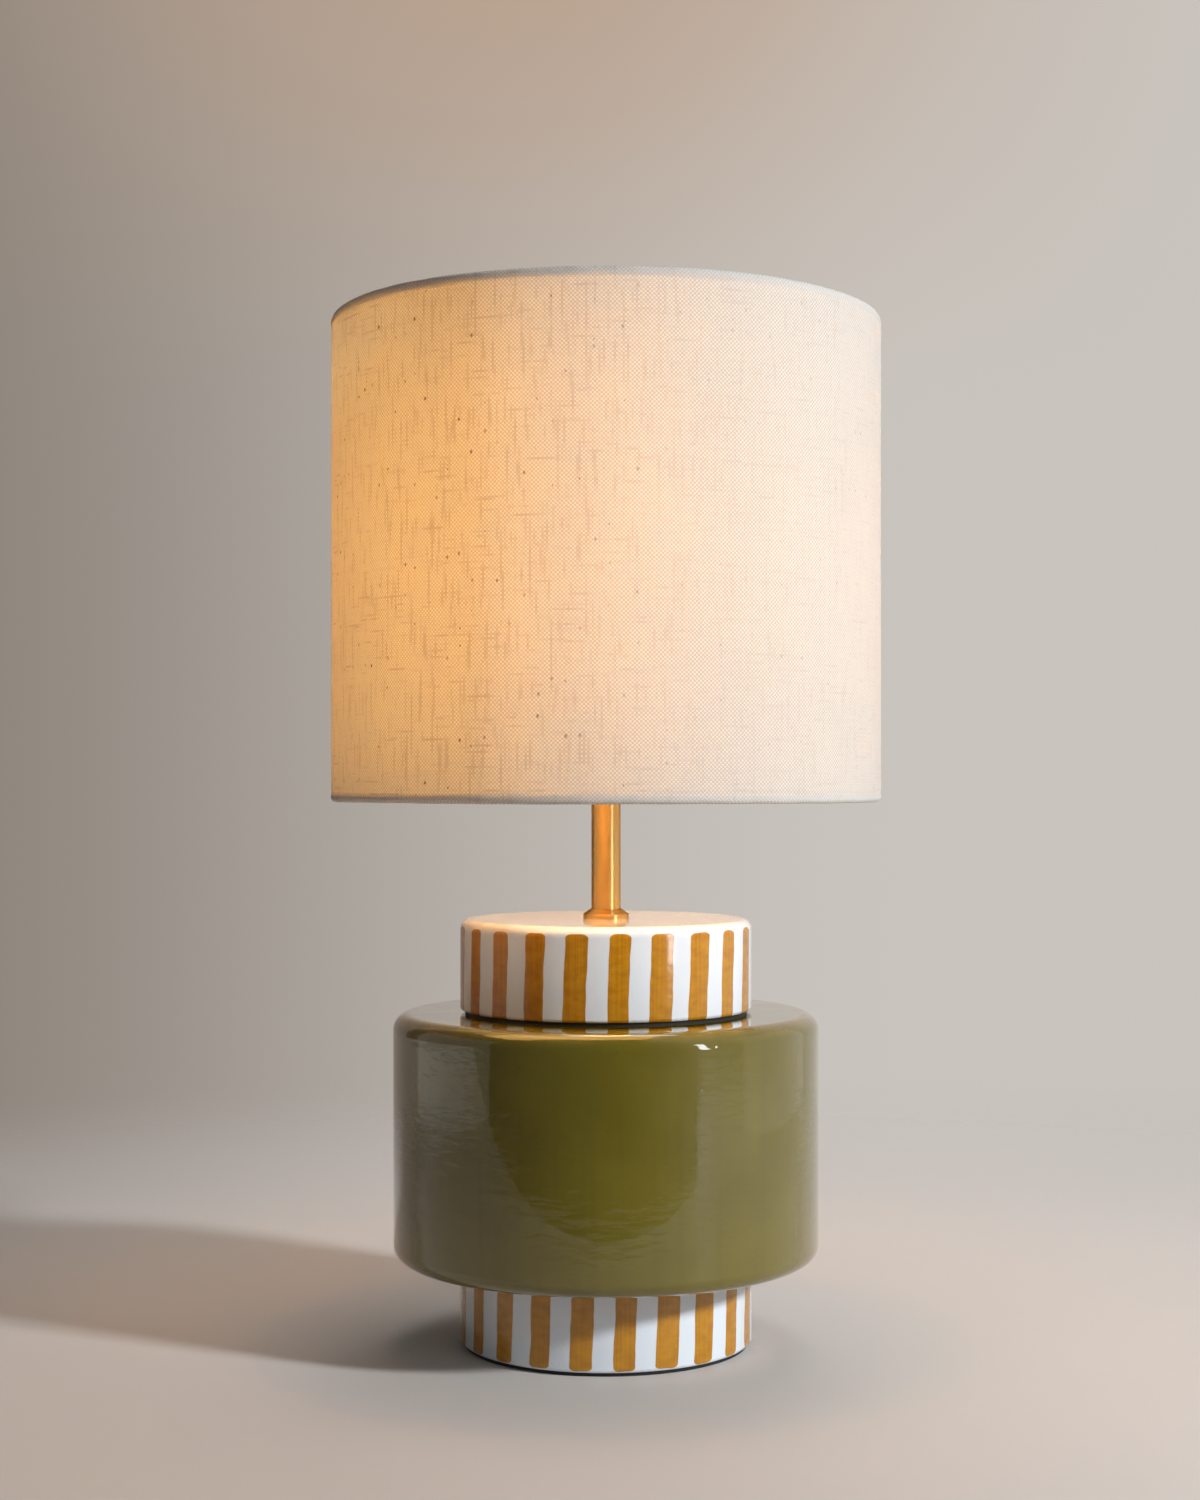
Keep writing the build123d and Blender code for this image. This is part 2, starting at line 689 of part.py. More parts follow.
# The neck's hollow flare is an arc that runs smoothly into the globe's ball
flare_x = neck_radius + NECK_FLARE
flare_angle = degrees(acos(flare_x / (BULB_RADIUS + NECK_FLARE)))
flare_height = globe_centre - (BULB_RADIUS + NECK_FLARE) * sin(radians(flare_angle))
neck_base = cap_shell_rim - NECK_SOCKET
with BuildPart() as bulb_globe:
    with BuildSketch(Plane.XZ):
        with BuildLine():
            for inset in (0, GLASS_WALL):
                Line((neck_radius - inset, neck_base), (neck_radius - inset, flare_height))
                CenterArc((flare_x, flare_height), NECK_FLARE + inset, 180, -flare_angle)
                CenterArc((0, globe_centre), BULB_RADIUS - inset, -flare_angle, 90 + flare_angle)
            Line((neck_radius - GLASS_WALL, neck_base), (neck_radius, neck_base))
            Line((0, globe_centre + BULB_RADIUS - GLASS_WALL), (0, globe_centre + BULB_RADIUS))
        make_face()
    revolve(axis=Axis.Z)
save(bulb_globe, "bulb_globe")

# Linen cover, rolled inwards round the hoops, with a lapped seam and notches for the arms at the base hoop
fabric_inner = SHADE_RADIUS - FABRIC_THICKNESS
roll_inner = roll_centre - roll_radius
with BuildPart() as shade_fabric:
    with BuildSketch(Plane.XZ):
        for roll_height, side in ((base_roll_height, -1), (top_roll_height, 1)):
            with Locations((roll_centre, roll_height)):
                Circle(roll_radius)
                Circle(roll_bore, mode=Mode.SUBTRACT)
                Rectangle(
                    2 * SHADE_RADIUS,
                    2 * roll_radius,
                    align=(Align.CENTER, Align.MAX if side > 0 else Align.MIN),
                    mode=Mode.SUBTRACT,
                )
        for tail_base in (base_roll_height, top_roll_height - HEM_TAIL):
            with Locations((roll_inner, tail_base)):
                Rectangle(FABRIC_THICKNESS, HEM_TAIL, align=(Align.MIN, Align.MIN))
        with Locations((fabric_inner, base_roll_height)):
            Rectangle(
                FABRIC_THICKNESS,
                top_roll_height - base_roll_height,
                align=(Align.MIN, Align.MIN),
            )
    revolve(axis=Axis.Z)
    seam_sweep = degrees(SEAM_WIDTH / SHADE_RADIUS)
    seam_start = radians(SEAM_ANGLE - seam_sweep / 2)
    seam_plane = Plane(
        origin=(0, 0, 0),
        x_dir=(cos(seam_start), sin(seam_start), 0),
        z_dir=(sin(seam_start), -cos(seam_start), 0),
    )
    with BuildSketch(seam_plane):
        with Locations((fabric_inner, base_roll_height)):
            Rectangle(
                2 * FABRIC_THICKNESS,
                top_roll_height - base_roll_height,
                align=(Align.MIN, Align.MIN),
            )
    revolve(axis=Axis.Z, revolution_arc=seam_sweep)
    notch_width = 2 * (ARM_WIRE_RADIUS + ARM_NOTCH_GAP)
    notch_depth = roll_centre - roll_inner
    with BuildSketch(Plane.XY.offset(shade_base)):
        with PolarLocations(0, FITTER_ARMS, start_angle=FIRST_ARM_ANGLE):
            with Locations((roll_centre - notch_depth / 2, 0)):
                Rectangle(2 * notch_depth, notch_width)
    extrude(amount=roll_radius + 2 * HEM_TAIL, mode=Mode.SUBTRACT)
save(shade_fabric, "shade_fabric")

# Liner bonded inside the linen, and the hoops in the hems
liner_outer = fabric_inner - GLUE_GAP
shade_liner = flat_ring(
    base_roll_height,
    top_roll_height - base_roll_height,
    liner_outer,
    liner_outer - LINER_THICKNESS,
)
save(shade_liner, "shade_liner")

top_hoop = wire_hoop(top_roll_height)
save(top_hoop, "top_hoop")

bottom_hoop = wire_hoop(base_roll_height)
save(bottom_hoop, "bottom_hoop")

# Fitter ring on the lampholder's shoulder
fitter_ring = flat_ring(
    fitter_base,
    FITTER_RING_THICKNESS,
    FITTER_RING_RADIUS,
    SKIRT_RADIUS + FITTER_CLEARANCE,
)
save(fitter_ring, "fitter_ring")

# Wire arms from under the fitter ring, down and out to the base hoop
arm_height = fitter_base - ARM_WIRE_RADIUS
arm_bend = FITTER_RING_RADIUS + ARM_FLAT
arm_run = hoop_radius - arm_bend
arm_drop = arm_height - base_roll_height
arm_share = 1 - (HOOP_WIRE_RADIUS + WELD_GAP) / sqrt(arm_run**2 + arm_drop**2)
with BuildPart() as fitter_arms:
    for angle in arm_angles:
        arm_plane = Plane(
            origin=(0, 0, 0),
            x_dir=(cos(radians(angle)), sin(radians(angle)), 0),
            z_dir=(sin(radians(angle)), -cos(radians(angle)), 0),
        )
        with BuildLine(arm_plane) as arm_path:
            FilletPolyline(
                (SHOULDER_RADIUS + ARM_SHOULDER_GAP, arm_height),
                (arm_bend, arm_height),
                (arm_bend + arm_run * arm_share, arm_height - arm_drop * arm_share),
                radius=ARM_BEND_RADIUS,
            )
        with BuildSketch(Plane(origin=arm_path.line @ 0, z_dir=arm_path.line % 0)):
            Circle(ARM_WIRE_RADIUS)
        sweep()
save(fitter_arms, "fitter_arms")
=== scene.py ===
"""Looks of the ceramic table lamp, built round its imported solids.

Metres, +Z up. The lamp's axis is Z and its front faces -Y.
"""

from math import cos, exp, pi, radians, sin, tau

import bpy
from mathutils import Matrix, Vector


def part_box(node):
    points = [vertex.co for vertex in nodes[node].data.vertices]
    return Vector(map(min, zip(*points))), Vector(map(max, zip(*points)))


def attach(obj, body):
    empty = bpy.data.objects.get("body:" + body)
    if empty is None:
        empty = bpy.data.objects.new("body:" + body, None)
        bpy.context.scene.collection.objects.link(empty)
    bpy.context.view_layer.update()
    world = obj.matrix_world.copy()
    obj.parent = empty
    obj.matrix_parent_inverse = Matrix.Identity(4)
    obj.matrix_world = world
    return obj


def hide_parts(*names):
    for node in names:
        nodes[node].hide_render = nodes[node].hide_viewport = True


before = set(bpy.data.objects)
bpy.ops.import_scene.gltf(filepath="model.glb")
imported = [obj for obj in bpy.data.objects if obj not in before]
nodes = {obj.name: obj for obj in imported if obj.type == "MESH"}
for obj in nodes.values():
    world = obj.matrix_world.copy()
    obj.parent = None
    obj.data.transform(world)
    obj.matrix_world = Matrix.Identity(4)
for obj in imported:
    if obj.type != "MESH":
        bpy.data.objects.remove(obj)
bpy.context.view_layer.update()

MM = 0.001

# Linen drum, its liner and the bulb in it
SHADE_RADIUS = 150 * MM
HEM_RADIUS = 2.55 * MM
HEM_TAIL = 3 * MM
SEAM_ANGLE = radians(80)
SEAM_WIDTH = 12 * MM
SEAM_STEP = 0.5 * MM
SEAM_EDGE = 0.12 * MM
ARM_ANGLES = [radians(angle) for angle in (90, 210, 330)]
NOTCH_WIDTH = 6.2 * MM
LINEN_COLUMNS = 720
WARP_THREADS = 880
WEFT_PITCH = 1.05 * MM
BASE_HEM_LINE = 3.8 * MM
TOP_HEM_LINE = 4.6 * MM
CREASE_DEPTH = 0.30 * MM
CREASE_WIDTH = 0.9 * MM
BASE_CREASE = 5.2 * MM
TOP_CREASE = 5.4 * MM
PUCKER_HEIGHT = 6 * MM
NEAR_HEM = 9 * MM
HEM_TAIL_ROWS = 3
HEM_ROLL_ROWS = 20
NEAR_HEM_ROWS = 15
WALL_ROWS = 44
NOTCHED_ROWS = 13
LINEN_LETS_THROUGH = 0.34
LINER_LETS_THROUGH = 0.75
BULB_STRENGTH = 18.0

# Painted stripes: their number, the turn of one of them from the front on each drum, half width and slant,
# the bare glaze beyond their ends, and how far they would run on past the drum's far edge
STRIPES = 22
CAP_STRIPE_TURN = radians(-11.6)
FOOT_STRIPE_TURN = radians(-8.9)
STRIPE_HALF_WIDTH = 6.0 * MM
STRIPE_SLANT = 0.39
CAP_STRIPE_GAP = 3.4 * MM
FOOT_STRIPE_GAP = 0.8 * MM
STRIPE_OVERRUN = 10 * MM
DRUM_RADIUS = 80 * MM

# Tint of brushed metal at grazing angles
METAL_EDGE_TINT = (0.62, 0.50, 0.40)

# Turned brass skirt of the lampholder: radii in millimetres, then heights and its thread
SKIRT_BORE = 17.6
SPIGOT_RADIUS = 18.8
SKIRT_RADIUS = 19.5
SHOULDER_RADIUS = 23.0
SPIGOT_DEPTH = 2.0 * MM
SHOULDER_HEIGHT = 4.4 * MM
EDGE_BREAK = 0.3 * MM
SKIRT_THREAD_DEPTH = 0.95 * MM
SKIRT_THREAD_PITCH = 2.5 * MM
SKIRT_THREAD_START = 0.4 * MM
SKIRT_THREAD_STOP = 0.5 * MM

# Rolled bulb cap: radii in millimetres, then heights and its thread
CAP_RADIUS = 13.3
CAP_BORE = 12.8
CAP_TAPER_RADIUS = 9.6
CAP_EYE = 4.8
CAP_TAPER = 3.2 * MM
CAP_WALL = 0.5 * MM
CAP_LIP = 0.2 * MM
CAP_THREAD_DEPTH = 1.0 * MM
CAP_THREAD_PITCH = 3.629 * MM
CAP_THREAD_START = 3.4 * MM
CAP_THREAD_END = 14.6 * MM
CAP_THREAD_RUN = 0.1 * MM

THREAD_FADE = 1.6 * MM
THREAD_ROWS_PER_TURN = 14
TURNED_SEGMENTS = 96


class Shader:
    """The node tree of a new material or of the world, with short calls for the nodes that repeat."""

    def __init__(self, name, world_tree=None):
        if world_tree:
            self.material = None
            self.tree = world_tree
        else:
            self.material = bpy.data.materials.new(name)
            self.material.use_nodes = True
            self.tree = self.material.node_tree
        self.tree.nodes.clear()
        self.output = self.add("ShaderNodeOutputWorld" if world_tree else "ShaderNodeOutputMaterial")
        self.place = self.add("ShaderNodeTexCoord").outputs["Generated" if world_tree else "Object"]
        self.x, self.y, self.z = self.split(self.place)

    def add(self, kind, sockets=None, **settings):
        node = self.tree.nodes.new(kind)
        for name, value in settings.items():
            setattr(node, name, value)
        for name, value in (sockets or {}).items():
            self.put(node.inputs[name], value)
        return node

    def put(self, socket, value):
        if isinstance(value, bpy.types.NodeSocket):
            self.tree.links.new(value, socket)
        elif isinstance(value, tuple) and len(value) == 3 and socket.type == "RGBA":
            socket.default_value = (*value, 1)
        else:
            socket.default_value = value

    def math(self, operation, *values):
        node = self.add("ShaderNodeMath", operation=operation)
        for socket, value in zip(node.inputs, values):
            self.put(socket, value)
        return node.outputs[0]

    def plus(self, *values):
        total = values[0]
        for value in values[1:]:
            total = self.math("ADD", total, value)
        return total

    def minus(self, first, second):
        return self.math("SUBTRACT", first, second)

    def times(self, *values):
        product = values[0]
        for value in values[1:]:
            product = self.math("MULTIPLY", product, value)
        return product

    def swing(self, value, size):
        """A noise value from 0 to 1 as a change of up to half of size either way."""
        return self.times(self.minus(value, 0.5), size)

    def step(self, value, start, end):
        """0 at start and 1 at end, with a smooth rise between them."""
        node = self.add("ShaderNodeMapRange", interpolation_type="SMOOTHSTEP")
        for socket, number in zip(node.inputs, (value, start, end, 0.0, 1.0)):
            self.put(socket, number)
        return node.outputs[0]

    def split(self, vector):
        return self.add("ShaderNodeSeparateXYZ", {"Vector": vector}).outputs

    def join(self, x, y, z=0.0):
        return self.add("ShaderNodeCombineXYZ", {"X": x, "Y": y, "Z": z}).outputs[0]

    def noise(self, vector, scale=1.0, detail=2.0, roughness=0.5):
        sockets = {"Vector": vector, "Scale": scale, "Detail": detail, "Roughness": roughness}
        return self.add("ShaderNodeTexNoise", sockets).outputs[0]

    def chance(self, value):
        """A random number from 0 to 1 for each whole value."""
        return self.add("ShaderNodeTexWhiteNoise", {"W": value}, noise_dimensions="1D").outputs[0]

    def marks(self, across, along, share, size):
        """Scattered marks on a grid of cells: the share of cells that hold one, and its size in cells."""
        node = self.add("ShaderNodeTexVoronoi", {"Vector": self.join(across, along)}, voronoi_dimensions="2D")
        node.inputs["Scale"].default_value = 1.0
        held, large, strong = self.split(node.outputs["Color"])
        reach = self.times(self.plus(0.5, large), size)
        mark = self.step(node.outputs["Distance"], reach, self.times(reach, 0.35))
        present = self.math("LESS_THAN", held, share)
        return self.times(mark, present, self.plus(0.35, self.times(strong, 0.65)))

    def mix(self, share, first, second):
        node = self.add("ShaderNodeMix", data_type="RGBA", clamp_factor=True)
        for index, value in ((0, share), (6, first), (7, second)):
            self.put(node.inputs[index], value)
        return node.outputs[2]

    def angle(self):
        """The turn about the lamp's axis, 0 at the front and rising to the right."""
        return self.math("ARCTAN2", self.x, self.times(self.y, -1.0))

    def radius(self, centre_y=0.0):
        """Distance from the lamp's axis, or from a line beside it in y."""
        aside = self.minus(self.y, centre_y)
        return self.math("SQRT", self.plus(self.times(self.x, self.x), self.times(aside, aside)))

    def bump(self, height, relief):
        return self.add("ShaderNodeBump", {"Height": height, "Distance": relief}).outputs[0]

    def principled(self, colour, roughness, height=None, relief=0.0, **sockets):
        """A Principled shader. Its other sockets are given by name, with _ for a space."""
        node = self.add("ShaderNodeBsdfPrincipled", {"Base Color": colour, "Roughness": roughness})
        for name, value in sockets.items():
            self.put(node.inputs[name.replace("_", " ")], value)
        if height is not None:
            self.put(node.inputs["Normal"], self.bump(height, relief))
        return node.outputs[0]

    def finish(self, surface):
        self.put(self.output.inputs["Surface"], surface)
        return self.material


def glaze_waves(s):
    """Uneven surface of a poured glaze: long waves, ripples, faint throwing lines and a fine orange peel."""
    ripples = s.times(s.noise(s.place, 110, 1.0), 0.16)
    lines = s.times(s.noise(s.join(s.times(s.angle(), 9.0), s.times(s.z, 230.0)), 1.0, 2.0), 0.36)
    return s.plus(s.noise(s.place, 34, 1.0), ripples, lines, s.times(s.noise(s.place, 320, 0.0), 0.02))


def striped_glaze(name, turn, low_end, high_end):
    """White glaze with brush-painted ochre stripes between two heights."""
    s = Shader(name)
    angle = s.angle()
    bend = s.swing(s.noise(s.place, 42, 1.0), 0.022)
    turned = s.minus(s.minus(angle, turn), s.times(s.minus(s.z, (low_end + high_end) / 2), STRIPE_SLANT))
    cells = s.times(s.plus(turned, bend), STRIPES / tau)
    number = s.math("ROUND", cells)
    across = s.times(s.math("ABSOLUTE", s.minus(cells, number)), tau / STRIPES * DRUM_RADIUS)
    half_width = s.plus(
        STRIPE_HALF_WIDTH,
        s.swing(s.chance(number), 1.2 * MM),
        s.swing(s.noise(s.place, 80, 1.0), 1.1 * MM),
    )
    share = s.math("DIVIDE", across, half_width)
    rounding = s.times(s.math("POWER", share, 5.0), 1.6 * MM)
    ragged = s.plus(rounding, s.swing(s.noise(s.place, 75, 2.0), 1.8 * MM))
    above = s.minus(s.z, s.plus(ragged, low_end))
    below = s.minus(s.minus(high_end, ragged), s.z)
    painted = s.times(
        s.step(s.minus(half_width, across), -0.2 * MM, 0.2 * MM),
        s.step(above, 0.0, 0.4 * MM),
        s.step(below, 0.0, 0.4 * MM),
    )

    # Brush marks run across and down a stripe, and the colour gathers along its edges
    across_marks = s.noise(s.join(s.times(angle, 9.0), s.times(s.z, 210.0), number), 1.0, 4.0, 0.6)
    down_marks = s.noise(s.join(s.times(angle, 80.0), s.times(s.z, 12.0), number), 1.0, 3.0)
    strokes = s.plus(s.times(across_marks, 0.6), s.times(down_marks, 0.4))
    pool = s.times(s.step(share, 0.72, 1.0), 0.14)
    ochre = s.mix(s.step(strokes, 0.34, 0.66), (0.42, 0.167, 0.004), (0.57, 0.255, 0.010))
    ochre = s.mix(pool, ochre, (0.36, 0.138, 0.003))
    cloud = s.noise(s.place, 28, 3.0)
    white = s.mix(cloud, (0.735, 0.785, 0.845), (0.79, 0.835, 0.885))
    specks = s.step(s.noise(s.place, 900, 0.0), 0.83, 0.87)
    white = s.mix(s.times(specks, 0.4), white, (0.40, 0.35, 0.28))
    colour = s.mix(painted, white, ochre)

    height = s.plus(glaze_waves(s), s.times(painted, 0.12), s.times(s.times(painted, strokes), 0.10))
    roughness = s.plus(0.06, s.times(s.noise(s.place, 90, 3.0), 0.05), s.times(painted, 0.03))
    return s.finish(s.principled(colour, roughness, height, 0.22 * MM, Coat_Weight=0.5, Coat_Roughness=0.04))


def olive_glaze(name, base, top):
    """Olive gloss glaze that thins and browns a little over the rounded edges; at the top rim the brown also
    stands as painted warm light from the bulb.
    """
    s = Shader(name)
    cloud = s.noise(s.place, 16, 3.0, 0.55)
    colour = s.mix(s.step(cloud, 0.3, 0.7), (0.130, 0.102, 0.008), (0.157, 0.124, 0.012))
    runs = s.noise(s.join(s.times(s.angle(), 16.0), s.times(s.z, 6.0)), 1.0, 3.0)
    colour = s.mix(s.times(s.step(runs, 0.48, 0.72), 0.25), colour, (0.100, 0.080, 0.006))
    # Browner over the rounded edges: glaze thinning there, and at the top rim also painted warm light from
    # the bulb
    edge = s.plus(s.step(s.z, top - 7 * MM, top - 1 * MM), s.step(s.z, base + 6 * MM, base + 1 * MM))
    edge = s.times(edge, s.step(s.radius(), 104 * MM, 110 * MM), s.step(s.noise(s.place, 70, 2.0), 0.25, 0.7))
    colour = s.mix(s.times(edge, 0.32), colour, (0.30, 0.215, 0.055))
    specks = s.step(s.noise(s.place, 700, 0.0), 0.82, 0.87)
    colour = s.mix(s.times(specks, 0.35), colour, (0.055, 0.045, 0.012))
    roughness = s.plus(0.03, s.times(s.noise(s.place, 60, 3.0), 0.03))
    waves = glaze_waves(s)
    return s.finish(s.principled(colour, roughness, waves, 0.55 * MM, Coat_Weight=1.0, Coat_Roughness=0.02))


def brushed_metal(name, dark, light, turned, roughness, relief=0.012 * MM):
    """Satin metal with fine brush lines along the axis, or round it where the piece was turned."""
    s = Shader(name)
    angle = s.angle()
    if turned:
        line = s.join(s.times(s.z, 5200.0), s.times(s.radius(), 5200.0), s.times(angle, 2.0))
    else:
        line = s.join(s.times(angle, 62.0), s.times(s.z, 26.0))
    lines = s.noise(line, 1.0, 4.0, 0.65)
    stain = s.noise(s.place, 70, 4.0, 0.6)
    colour = s.mix(s.plus(s.times(lines, 0.5), s.times(stain, 0.5)), dark, light)
    rough = s.plus(roughness, s.swing(lines, 0.16), s.swing(stain, 0.10))
    around = s.add("ShaderNodeTangent", direction_type="RADIAL", axis="Z").outputs[0]
    surface = s.principled(
        colour,
        rough,
        lines,
        relief,
        Metallic=1.0,
        Specular_Tint=METAL_EDGE_TINT,
        Anisotropic=0.7,
        Anisotropic_Rotation=0.25,
        Tangent=around,
    )
    return s.finish(surface)


def grained(name, dark, light, scale, roughness, relief, **sockets):
    """A plain moulded, cast or coated material with grain at one scale and cloudy tone."""
    s = Shader(name)
    grain = s.noise(s.place, scale, 3.0, 0.6)
    cloud = s.noise(s.place, scale / 14, 3.0)
    colour = s.mix(s.plus(s.times(grain, 0.6), s.times(cloud, 0.4)), dark, light)
    rough = s.plus(roughness, s.swing(cloud, 0.16))
    return s.finish(s.principled(colour, rough, grain, relief, **sockets))


def opal_glass(name, low, high):
    """Opal bulb glass, lit from inside and a little dimmer towards the neck."""
    s = Shader(name)
    lit = s.plus(0.35, s.times(s.step(s.z, low + 8 * MM, low + 0.55 * (high - low)), 0.65))
    cloud = s.noise(s.place, 40, 3.0)
    glow = s.mix(lit, (0.0, 0.0, 0.0), s.mix(cloud, (1.0, 0.55, 0.21), (1.0, 0.58, 0.24)))
    base = s.mix(cloud, (0.86, 0.83, 0.78), (0.90, 0.88, 0.84))
    rough = s.plus(0.16, s.times(cloud, 0.10))
    light = {"Emission_Color": glow, "Emission_Strength": BULB_STRENGTH}
    return s.finish(s.principled(base, rough, cloud, 0.05 * MM, **light))


def linen_cloth(name, low, high):
    """Plain-weave linen with slubs and brown flecks, which lets light through, less so at its hems."""
    s = Shader(name)
    # The turn is measured from opposite the seam, so that both its ends lie in the seam
    along = s.plus(s.times(s.x, -cos(SEAM_ANGLE)), s.times(s.y, -sin(SEAM_ANGLE)))
    aside = s.plus(s.times(s.x, sin(SEAM_ANGLE)), s.times(s.y, -cos(SEAM_ANGLE)))
    turn = s.math("ARCTAN2", aside, along)
    warp = s.times(turn, WARP_THREADS / tau)
    weft = s.times(s.z, 1 / WEFT_PITCH)
    warp_number = s.math("FLOOR", warp)
    weft_number = s.math("FLOOR", weft)
    warp_wave = s.math("SINE", s.times(warp, pi))
    weft_wave = s.math("SINE", s.times(weft, pi))
    over = s.step(s.times(warp_wave, weft_wave), -0.12, 0.12)
    warp_round = s.math("ABSOLUTE", warp_wave)
    weft_round = s.math("ABSOLUTE", weft_wave)
    thread = s.plus(s.times(over, warp_round), s.times(s.minus(1.0, over), weft_round))

    # Painted light: threads, slubs and flecks are painted stronger on the left, where the glow comes through
    # the cloth, and fainter on the front-lit right
    painted_backlit_side = s.plus(0.25, s.times(s.step(s.x, 0.07, -0.09), 0.75))

    # Each thread is thicker here and thinner there, and a few run dark for a while
    warp_tone = s.noise(s.join(s.times(warp_number, 3.7), s.times(s.z, 36.0)), 1.0, 2.0)
    weft_tone = s.noise(s.join(s.times(turn, 6.0), s.times(weft_number, 3.7), 5.0), 1.0, 2.0)
    tone = s.plus(s.times(over, warp_tone), s.times(s.minus(1.0, over), weft_tone))
    thread_pair = s.join(warp_number, weft_number)
    grain = s.add("ShaderNodeTexWhiteNoise", {"Vector": thread_pair}, noise_dimensions="2D").outputs[0]
    dark_thread = s.math("MAXIMUM", s.step(warp_tone, 0.53, 0.69), s.step(weft_tone, 0.59, 0.75))
    dark_thread = s.times(dark_thread, painted_backlit_side)

    # Short slubs both ways, and small brown flecks of straw
    run = s.times(turn, SHADE_RADIUS / MM)
    rise = s.times(s.z, 1 / MM)
    slub_down = s.marks(s.times(run, 1 / 2.8), s.times(rise, 1 / 10.0), 0.045, 0.085)
    slub_across = s.marks(s.plus(s.times(run, 1 / 9.0), 7.3), s.times(rise, 1 / 2.8), 0.022, 0.085)
    slub = s.times(s.math("MAXIMUM", slub_down, slub_across), painted_backlit_side)
    fleck = s.marks(s.plus(s.times(run, 1 / 7.0), 3.1), s.times(rise, 1 / 10.0), 0.15, 0.10)
    fleck = s.times(fleck, painted_backlit_side)
    cloud = s.noise(s.place, 14, 3.0)

    # Bundles of thicker threads show as faint streaks both ways
    streaks_down = s.noise(s.join(s.times(run, 0.80), s.times(rise, 0.035)), 1.0, 1.0)
    streaks_across = s.noise(s.join(s.times(run, 0.035), s.times(rise, 0.85), 9.0), 1.0, 1.0)
    streaks = s.plus(s.step(streaks_down, 0.52, 0.78), s.step(streaks_across, 0.52, 0.78))

    # Thick and slubbed threads look darker, more so against the light
    woven = s.plus(s.times(over, 0.45), s.times(grain, 0.40))
    threads = s.plus(s.times(s.step(tone, 0.25, 0.75), 0.30), s.times(dark_thread, 0.75))
    dense = s.plus(threads, s.swing(cloud, 0.25), woven)
    front = s.mix(s.times(dense, 0.7), (0.94, 0.93, 0.91), (0.85, 0.835, 0.805))
    # The gaps between threads are painted darker, as painted shade in the weave's hollows
    front = s.mix(s.step(thread, 0.5, 0.0), front, (0.66, 0.63, 0.58))
    front = s.mix(s.times(over, 0.3), front, (0.75, 0.735, 0.71))
    front = s.mix(s.times(dark_thread, 0.2), front, (0.50, 0.32, 0.17))
    front = s.mix(s.times(slub, 0.45), front, (0.30, 0.16, 0.07))
    front = s.mix(fleck, front, (0.17, 0.08, 0.03))
    from_edge = s.math("MINIMUM", s.minus(s.z, low + BASE_HEM_LINE), s.minus(high - TOP_HEM_LINE, s.z))
    clear = s.step(s.plus(from_edge, s.swing(s.noise(s.place, 160, 1.0), 0.8 * MM)), -0.4 * MM, 0.4 * MM)
    # The hems' front colour is painted greyer, as painted shade where the hoop and doubled cloth keep the
    # glow out
    front = s.mix(s.times(s.minus(1.0, clear), 0.5), front, (0.74, 0.70, 0.655))
    against_light = s.plus(dense, s.times(streaks, 0.24), s.swing(over, 0.8))
    through = s.mix(against_light, (1.0, 0.86, 0.54), (0.46, 0.29, 0.115))
    through = s.mix(s.times(s.step(thread, 0.55, 0.0), 0.8), through, (1.0, 0.93, 0.70))
    through = s.mix(s.times(slub, 0.75), through, (0.28, 0.11, 0.025))
    through = s.mix(fleck, through, (0.14, 0.05, 0.01))

    height = s.plus(thread, s.times(slub, 0.9), s.times(fleck, 0.9), s.times(tone, 0.4))
    cloth = s.principled(front, 0.92, height, 0.16 * MM, Specular_IOR_Level=0.25, Sheen_Weight=0.12)
    lit = s.add("ShaderNodeBsdfTranslucent", {"Color": through}).outputs[0]
    lets_through = s.times(s.plus(0.65, s.times(clear, 0.35)), LINEN_LETS_THROUGH)
    both = s.add("ShaderNodeMixShader", {"Fac": lets_through})
    s.put(both.inputs[1], cloth)
    s.put(both.inputs[2], lit)
    return s.finish(both.outputs[0])


def liner_film(name):
    """Thin pearly film that backs the linen and lets most light through."""
    s = Shader(name)
    cloud = s.noise(s.place, 30, 3.0)
    colour = s.mix(cloud, (0.86, 0.84, 0.80), (0.92, 0.905, 0.88))
    film = s.principled(colour, s.plus(0.42, s.times(cloud, 0.12)), s.noise(s.place, 400, 2.0), 0.02 * MM)
    lit = s.add("ShaderNodeBsdfTranslucent", {"Color": colour}).outputs[0]
    both = s.add("ShaderNodeMixShader", {"Fac": LINER_LETS_THROUGH})
    s.put(both.inputs[1], film)
    s.put(both.inputs[2], lit)
    return s.finish(both.outputs[0])


def mesh_piece(name, points, faces, material, body):
    """A smooth mesh that rides on a body."""
    mesh = bpy.data.meshes.new(name)
    mesh.from_pydata(points, [], faces)
    mesh.update()
    mesh.materials.append(material)
    mesh.shade_smooth()
    piece = bpy.data.objects.new(name, mesh)
    bpy.context.scene.collection.objects.link(piece)
    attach(piece, body)
    return piece


def spaced(start, end, count):
    return [start + (end - start) * index / count for index in range(count + 1)]


